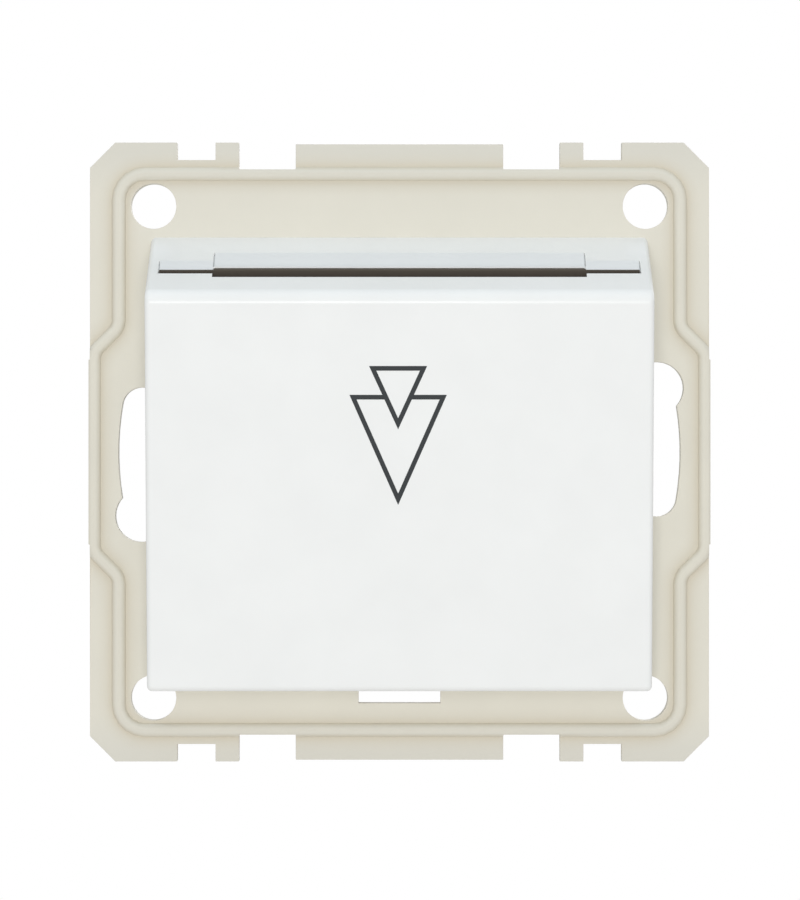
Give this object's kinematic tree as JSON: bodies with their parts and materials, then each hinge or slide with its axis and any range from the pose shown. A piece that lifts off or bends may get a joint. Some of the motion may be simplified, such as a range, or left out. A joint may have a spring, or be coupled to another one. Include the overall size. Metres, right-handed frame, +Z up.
{
  "type": "hotel key card switch",
  "caption": "Wall-mounted key card switch: a square plate carries a wedge-shaped cover with a card slot in front and a switch insert with clamp terminals behind.",
  "frame": {"origin": "centre of the support plate at its back face, on the wall plane", "axes": "+Z up, +X to the right as seen from the front, the front faces -Y and the wall lies at +Y"},
  "size_m": [0.0712, 0.0403, 0.071],
  "materials": {
    "plate_plastic": "satin moulded, warm off-white",
    "cover_plastic": "polished white",
    "guide_plastic": "dark brown, fine texture",
    "lever_plastic": "natural nylon",
    "insert_plastic": "light grey moulded",
    "plunger_plastic": "red-brown nylon",
    "steel": "zinc plated",
    "spring_steel": "drawn wire",
    "brass": "rolled strip",
    "silver": "satin silver"
  },
  "bodies": {
    "housing": {"support_plate": "plate_plastic", "front_cover": "cover_plastic", "card_guide": "guide_plastic", "guide_screws": "steel", "lever_pin": "steel", "lever_spring": "spring_steel", "insert_cap": "insert_plastic", "insert_base": "insert_plastic", "housing_screws": "steel", "return_spring": "spring_steel", "fixed_contact_left": "brass", "fixed_contact_right": "brass", "fixed_tip_left": "silver", "fixed_tip_right": "silver"},
    "lever": {"card_lever": "lever_plastic"},
    "push_rod": {"plunger": "plunger_plastic", "contact_bridge": "brass", "bridge_tips": "silver", "retaining_ring": "spring_steel"},
    "clamp_screw_left": {"terminal_screw_left": "steel"},
    "clamp_cage_left": {"terminal_cage_left": "brass"},
    "clamp_screw_right": {"terminal_screw_right": "steel"},
    "clamp_cage_right": {"terminal_cage_right": "brass"}
  },
  "joints": [
    {"name": "lever_swing", "type": "hinge", "parent": "housing", "child": "lever", "pos_m": [0, -0.00544, 0.0165], "axis": [1, 0, 0], "range_deg": [0, 7.5], "stiffness_Nm_per_rad": 0.05, "springref_deg": -5.73, "deforming": ["lever_spring"]},
    {"name": "plunger_slide", "type": "slide", "parent": "housing", "child": "push_rod", "axis": [0, 1, 0], "range_m": [0, 0.00213], "stiffness_N_per_m": 300, "springref_m": -0.003, "deforming": ["return_spring"]},
    {"name": "clamp_screw_left_turn", "type": "hinge", "parent": "housing", "child": "clamp_screw_left", "pos_m": [-0.0105, 0.01695, 0.0148], "axis": [0, 0, -1], "range_deg": [0, 1440]},
    {"name": "clamp_cage_left_rise", "type": "slide", "parent": "housing", "child": "clamp_cage_left", "axis": [0, 0, 1], "range_m": [0, 0.0024]},
    {"name": "clamp_screw_right_turn", "type": "hinge", "parent": "housing", "child": "clamp_screw_right", "pos_m": [0.0105, 0.01695, 0.0148], "axis": [0, 0, -1], "range_deg": [0, 1440]},
    {"name": "clamp_cage_right_rise", "type": "slide", "parent": "housing", "child": "clamp_cage_right", "axis": [0, 0, 1], "range_m": [0, 0.0024]}
  ],
  "couplings": [
    {"joint": "lever_swing", "follows": "plunger_slide", "rad_per_m": 61.35},
    {"joint": "clamp_screw_left_turn", "follows": "clamp_cage_left_rise", "rad_per_m": 10471},
    {"joint": "clamp_screw_right_turn", "follows": "clamp_cage_right_rise", "rad_per_m": 10471}
  ]
}
